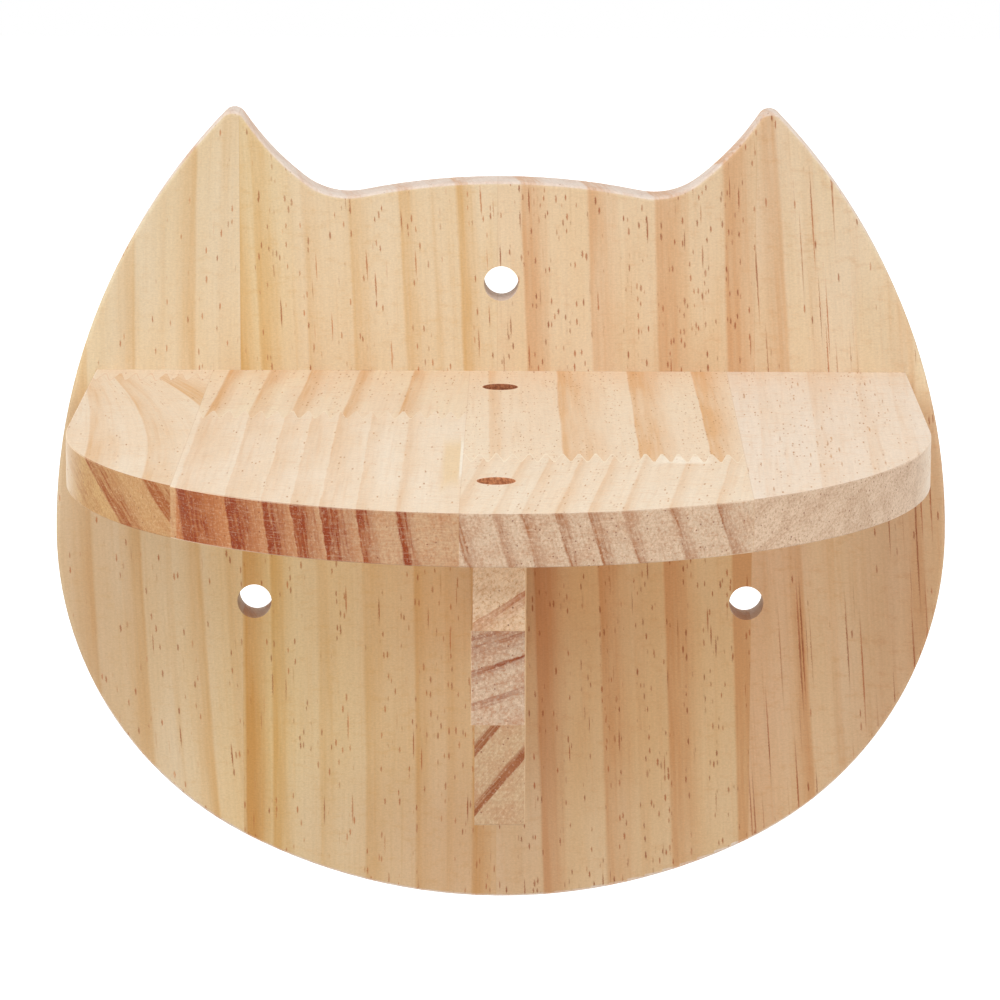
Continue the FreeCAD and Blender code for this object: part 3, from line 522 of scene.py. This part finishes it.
# Each board's own look. Its rings are (place, strength, fade), its span is the range of the ring coordinate
# that it covers, and a finger joint is (start, distance from the plate, half width of its line, strength).
WOODS = {
    # On the plate staves, below holds the painted shade of the shelf over X, laid on the front face
    "plate_stave_left": board(
        PLATE, across=(1.0, 0.2, 0.0), bow=(60.0, -0.00028, 0.0, 0.0), seed=1.0, span=(-160.0, -80.0),
        rings=[(-139.0, 0.6, -8.0), (-122.5, 0.65, -8.0), (-112.5, 0.25, -3.0), (-102.4, 0.7, -7.0),
               (-94.5, 0.3, 5.0)],
        early=colour(224, 207, 179), early_warm=colour(222, 201, 167), late=colour(210, 175, 128),
        below=((-136.0, (0.8, 0.73, 0.69)), (-110.0, (0.92, 0.89, 0.86)), (-94.0, (0.96, 0.905, 0.8))),
        flecks=((1.2, 5.0, 0.25, 0.25), (1.4, 22.0, 0.2, 0.18)),
    ),
    "plate_stave_centre_left": board(
        PLATE, across=(1.0, 0.2, 0.0), bow=(-90.0, 0.000138, 0.0, 0.0), seed=2.0, span=(-90.0, 8.0),
        rings=[(-86.2, 0.95, 8.6), (-77.2, 0.7, 8.0), (-61.1, 0.35, 6.0), (-45.6, 0.5, 8.0),
               (-28.5, 0.6, 6.5), (-18.0, 0.25, 4.0), (-9.2, 0.8, 7.0)],
        early=colour(224, 205, 176), early_warm=colour(222, 200, 167), late=colour(208, 168, 114),
        tones=((-78.0, (1.0, 1.0, 0.91)), (-66.0, (1.0, 1.0, 1.0))),
        below=((-83.0, (0.91, 0.79, 0.63)), (-76.0, (1.0, 0.98, 0.87)), (-56.0, (1.0, 0.97, 0.86)),
               (-16.0, (0.92, 0.79, 0.67))),
        foot=(0.92, 0.9, 0.93), flecks=((1.2, 5.0, 0.4, 0.26), (1.4, 24.0, 0.4, 0.2)),
    ),
    "plate_stave_centre_right": board(
        PLATE, across=(1.0, 0.2, 0.035), seed=3.0, span=(-6.0, 92.0),
        rings=[(10.9, 0.95, 9.0), (32.8, 0.75, 11.0), (44.5, 0.2, 4.0), (55.0, 0.85, 12.0),
               (78.0, 1.0, 13.0)],
        early=colour(224, 204, 175), early_warm=colour(222, 198, 164), late=colour(208, 166, 126),
        tones=((36.0, (1.0, 1.0, 1.0)), (58.0, (0.965, 0.93, 0.89))),
        below=((16.0, (0.74, 0.575, 0.46)), (25.0, (0.81, 0.665, 0.52)), (69.0, (0.945, 0.87, 0.755))),
        hold=0.5, below_foot=0.6,
        flecks=((1.2, 4.6, 0.5, 0.28), (1.4, 20.0, 0.4, 0.2)),
        fleck=colour(180, 112, 72), fleck_dark=colour(150, 88, 56),
    ),
    "plate_stave_right": board(
        PLATE, across=(1.0, 0.2, 0.073), seed=4.0, span=(78.0, 162.0),
        rings=[(101.0, 0.55, -8.0), (112.0, 0.25, -5.0), (142.5, 0.35, -9.0)],
        early=colour(224, 204, 176), early_warm=colour(222, 200, 167), late=colour(202, 154, 107),
        tones=((88.0, (0.96, 0.91, 0.88)), (99.0, (1.0, 1.0, 1.0))),
        below=((95.0, (0.94, 0.82, 0.745)), (113.0, (0.94, 0.855, 0.79)), (130.0, (0.81, 0.67, 0.58))),
        fleck=colour(186, 120, 80), fleck_dark=colour(152, 92, 60),
        flecks=((1.2, 6.0, 0.12, 0.25), (1.1, 70.0, 0.9, 0.3)),
    ),
    "shelf_stave_1_rear": board(
        SHELF, across=(1.0, 0.0, 0.1), seed=5.0, span=(-140.0, -90.0), rings=[(-118.0, 0.2, 5.0)],
        finger=(SHELF_STARTS[0], 14.5, 0.9, 0.6), finger_tint=colour(222, 176, 140), flecks=(FEW,),
    ),
    "shelf_stave_1_front": board(
        SHELF, across=(1.0, 0.0, 0.8), bow=(-211.0, 0.00071, 0.02, -105.4), seed=6.0, span=(-160.0, -70.0),
        rings=[(-137.0, 0.4, 8.0), (-125.2, 0.8, 12.0), (-105.7, 0.85, 13.0), (-79.0, 1.0, 24.0)],
        finger=(SHELF_STARTS[0], 14.5, 0.9, 0.6), finger_tint=colour(222, 176, 140),
        late=colour(218, 170, 116), face_contrast=0.72, end_contrast=1.1, flecks=(FEW,), quiet=0.12,
        end_from=0.1, end_late=colour(146, 69, 23), speckle=0.55, edge=0.3,
        speckle_light=colour(219, 184, 143), speckle_tint=colour(174, 118, 73),
        end_tones=((-137.0, colour(203, 165, 113)), (-119.0, colour(205, 167, 113)),
                   (-112.0, colour(196, 155, 107))),
    ),
    "shelf_stave_2_rear": board(
        SHELF, across=(1.0, -0.035, 0.15), seed=7.0, span=(-100.0, -6.0),
        rings=[(-90.2, 0.95, 6.0), (-76.7, 0.8, 7.0), (-63.0, 0.75, 7.0), (-46.6, 0.85, 6.0),
               (-28.5, 0.85, 7.0)],
        finger=(SHELF_STARTS[1], 83.3, 0.7, 0.5), flecks=(SOME,), quiet=0.12, early=colour(237, 219, 192),
    ),
    "shelf_stave_2_front": board(
        SHELF, across=(1.0, 0.0, 0.15), seed=8.0, span=(-100.0, -6.0),
        rings=[(-94.6, 1.0, 15.0), (-80.2, 1.0, 12.0), (-69.1, 1.0, 9.5), (-60.4, 1.0, 9.5),
               (-51.1, 1.0, 10.5), (-40.6, 0.85, 6.0), (-28.5, 0.95, 5.5)],
        hold=0.3, edge=0.3, quiet=0.04, ripple=1.4, face_contrast=0.42, flecks=(FEW,),
        early=colour(238, 220, 198), finger=(SHELF_STARTS[1], 83.3, 0.7, 0.5),
        end_tones=((-94.9, colour(200, 157, 112)), (-94.3, colour(186, 120, 73)),
                   (-80.0, colour(187, 125, 80)), (-48.0, colour(191, 151, 115)),
                   (-32.0, colour(192, 157, 123))),
        end_late=colour(128, 41, 6), end_contrast=1.25, speckle=0.5, sawn=0.35, layers=0.2,
        speckle_light=colour(215, 183, 152), speckle_tint=colour(168, 100, 56),
        patches=((-13.6, -184.0, 3.2, 42.0, colour(228, 196, 148), 0.6),
                 (-10.8, -177.0, 0.55, 36.0, colour(250, 244, 232), 0.6)),
    ),
    "shelf_stave_3_rear": board(
        SHELF, across=(1.0, 0.01, 0.3), seed=9.0, span=(-14.0, 80.0),
        rings=[(-4.2, 0.5, 5.0), (18.3, 0.85, 17.0), (41.8, 0.95, 13.0), (63.6, 1.0, 11.0)],
        finger=(SHELF_STARTS[2], 154.8, 1.1, 0.75), flecks=(MANY,),
        early=colour(237, 218, 193), late=colour(221, 175, 128),
        bores=((0.0, -46.8, colour(196, 128, 88), colour(150, 90, 62)),),
    ),
    "shelf_stave_3_front": board(
        SHELF, across=(1.0, -0.1, 0.3), seed=10.0, span=(10.0, 110.0),
        rings=[(13.0, 0.9, 5.0), (25.0, 0.9, 4.0), (33.0, 0.95, 4.0), (42.8, 1.0, 4.5), (52.2, 1.0, 4.5),
               (62.0, 0.95, 4.0), (75.2, 0.95, 4.5), (88.4, 0.95, 4.5)],
        finger=(SHELF_STARTS[2], 154.8, 1.1, 0.75), flecks=(SOME,),
        hold=0.3, face_contrast=0.48, end_contrast=0.85,
        end_early=colour(204, 180, 156), end_late=colour(148, 92, 56), speckle=0.6, dot_keep=0.7,
        bores=((0.0, -207.9, colour(228, 164, 116), colour(186, 116, 80)),),
        patches=((57.0, -173.0, 9.0, 7.0, colour(250, 240, 224), 0.6),),
    ),
    "shelf_stave_4": board(
        SHELF, across=(1.0, -0.03, -1.3), seed=11.0, span=(70.0, 145.0),
        rings=[(86.0, 0.3, 5.0), (103.0, 0.45, 12.0), (119.0, 0.35, 5.0), (130.0, 0.25, 6.0)],
        early=colour(237, 220, 202), early_warm=colour(236, 216, 195),
        face_contrast=0.6, end_contrast=0.6, flecks=(SOME, (1.5, 24.0, 0.6, 0.18)),
        speckle=0.75, dot_keep=0.4, end_from=0.1,
        end_late=colour(171, 128, 97), speckle_tint=colour(169, 132, 104),
        speckle_light=colour(220, 195, 171),
        end_tones=((110.0, colour(212, 186, 162)), (119.0, colour(221, 195, 172))),
    ),
    "rib_strip_upper": board(
        RIB, across=(-0.66, 0.0, 1.0), seed=12.0, span=(5.0, 50.0),
        rings=[(24.0, 0.85, -5.5), (44.0, 0.5, -6.0)],
        end_early=colour(226, 199, 169), end_late=colour(172, 106, 74), speckle=0.75, pore=0.9,
        speckle_tint=colour(186, 135, 93),
    ),
    "rib_strip_middle": board(
        RIB, across=(-0.33, 0.0, 1.0), seed=13.0, span=(-16.0, 22.0),
        rings=[(-2.1, 0.6, -3.0), (7.7, 0.95, -3.5), (18.0, 0.6, -9.0)],
        end_early=colour(196, 172, 149), end_late=colour(126, 54, 27), speckle_tint=colour(171, 111, 72),
    ),
    "rib_strip_lower": board(
        RIB, across=(-1.2, 0.0, 1.0), seed=14.0, span=(-56.0, 2.0),
        rings=[(-31.7, 1.0, 5.0), (-13.4, 1.0, 5.0)], hold=0.65, end_contrast=1.25,
        end_early=colour(190, 162, 129), end_late=colour(134, 73, 40), pore=1.0, speckle=0.5,
    ),
}


def screw_steel():
    """Zinc-plated steel with a turned finish and small stains."""
    graph = Graph("screw_steel")
    place = graph.place()
    turned = graph.noise(graph.scaled(place, TURNED_CELL), 3.0)
    stain = graph.noise(graph.scaled(place, STAIN_CELL), 3.0, 0.6)
    base = graph.mix(graph.step(stain, 0.4, 0.7), colour(196, 190, 176), colour(150, 132, 100))
    rough = graph.total(graph.product(stain, 0.25), 0.28)
    return graph.finish(base, rough, turned, STEEL_BUMP, Metallic=1.0)


def dress(node, material):
    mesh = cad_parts[node].data
    mesh.materials.clear()
    mesh.materials.append(material)


for node, options in WOODS.items():
    dress(node, Pine(node, **options).material())
steel = screw_steel()
dress("shelf_screws", steel)
dress("plate_screws", steel)


# Camera, as in the photograph: 11.3 degrees down, and a little to the left

CAMERA_PLACE = (11.18 * MM, -1667.79 * MM, 342.23 * MM)
CAMERA_PITCH = 0.19720925
CAMERA_YAW = 0.00688068
CAMERA_ROLL = 0.00274618
CAMERA_SENSOR = 36.0
CAMERA_LENS = 180.0

lens = bpy.data.cameras.new("photo_camera")
lens.sensor_width = CAMERA_SENSOR
lens.lens = CAMERA_LENS
camera = bpy.data.objects.new("photo_camera", lens)
bpy.context.scene.collection.objects.link(camera)
turn = (
    Matrix.Rotation(CAMERA_YAW, 4, "Z")
    @ Matrix.Rotation(math.pi / 2 - CAMERA_PITCH, 4, "X")
    @ Matrix.Rotation(CAMERA_ROLL, 4, "Z")
)
camera.matrix_world = Matrix.Translation(CAMERA_PLACE) @ turn
bpy.context.scene.camera = camera


# Light, and a white background that only the camera, gloss and glass see

WHITE = (1.0, 1.0, 1.0, 1.0)
AMBIENT = (0.675, 0.67, 0.655, 1.0)
WARM_TINT = (1.0, 0.90, 0.76)
SIDE_TINT = (0.96, 1.0, 0.98)
PART_CENTRE = (0.0, -0.1, 0.0)

# Each lamp's place, the place that it faces, its size in metres, its power in watts and its tint
LAMPS = {
    "key_lamp": ((-0.35, -1.5, 1.55), PART_CENTRE, 1.4, 19.9, WHITE[:3]),
    "low_fill": ((0.05, -1.5, -1.05), (0.0, -0.1, -0.05), 1.2, 10.8, WARM_TINT),
    "left_side": ((-1.5, -0.3, 0.1), PART_CENTRE, 1.0, 6.9, SIDE_TINT),
    "right_side": ((1.5, -0.3, 0.1), PART_CENTRE, 1.0, 6.7, SIDE_TINT),
}


def seen_directly(tree):
    """1 for camera rays, reflections and refractions, and 0 for the light that falls on things."""
    rays = tree.nodes.new("ShaderNodeLightPath")
    result = rays.outputs["Is Camera Ray"]
    for name in ("Is Glossy Ray", "Is Transmission Ray"):
        higher = tree.nodes.new("ShaderNodeMath")
        higher.operation = "MAXIMUM"
        tree.links.new(result, higher.inputs[0])
        tree.links.new(rays.outputs[name], higher.inputs[1])
        result = higher.outputs[0]
    return result


def add_lamp(name, place, aim, size, power, tint):
    lamp = bpy.data.lights.new(name, "AREA")
    lamp.shape = "SQUARE"
    lamp.size = size
    lamp.energy = power
    lamp.color = tint
    thing = bpy.data.objects.new(name, lamp)
    thing.location = place
    thing.rotation_mode = "QUATERNION"
    thing.rotation_quaternion = (Vector(aim) - Vector(place)).to_track_quat("-Z", "Y")
    thing.visible_camera = False
    bpy.context.scene.collection.objects.link(thing)


world = bpy.data.worlds.new("studio")
bpy.context.scene.world = world
world.use_nodes = True
sky = world.node_tree
background = sky.nodes["Background"]
shade = sky.nodes.new("ShaderNodeMix")
shade.data_type = "RGBA"
shade.inputs[6].default_value = AMBIENT
shade.inputs[7].default_value = WHITE
sky.links.new(seen_directly(sky), shade.inputs[0])
sky.links.new(shade.outputs[2], background.inputs["Color"])

for name, lamp in LAMPS.items():
    add_lamp(name, *lamp)


# Floor

FLOOR_LEVEL = -3.0
FLOOR_REACH = 30.0
FLOOR_COLOUR = (0.6, 0.6, 0.6, 1.0)
SQUARE = ((-1, -1), (1, -1), (1, 1), (-1, 1))

corners = [(x * FLOOR_REACH, y * FLOOR_REACH, FLOOR_LEVEL) for x, y in SQUARE]
sheet = bpy.data.meshes.new("floor")
sheet.from_pydata(corners, [], [(0, 1, 2, 3)])
floor = bpy.data.objects.new("floor", sheet)
bpy.context.scene.collection.objects.link(floor)

paint = Graph("floor")
matt = paint.add("ShaderNodeBsdfDiffuse", {"Color": FLOOR_COLOUR})
glow = paint.add("ShaderNodeEmission", {"Color": WHITE, "Strength": seen_directly(paint.tree)})
both = paint.add("ShaderNodeAddShader", {0: matt.outputs[0], 1: glow.outputs[0]})
paint.add("ShaderNodeOutputMaterial", {"Surface": both.outputs[0]})
sheet.materials.append(paint.material)

bpy.context.scene.view_settings.view_transform = "Standard"
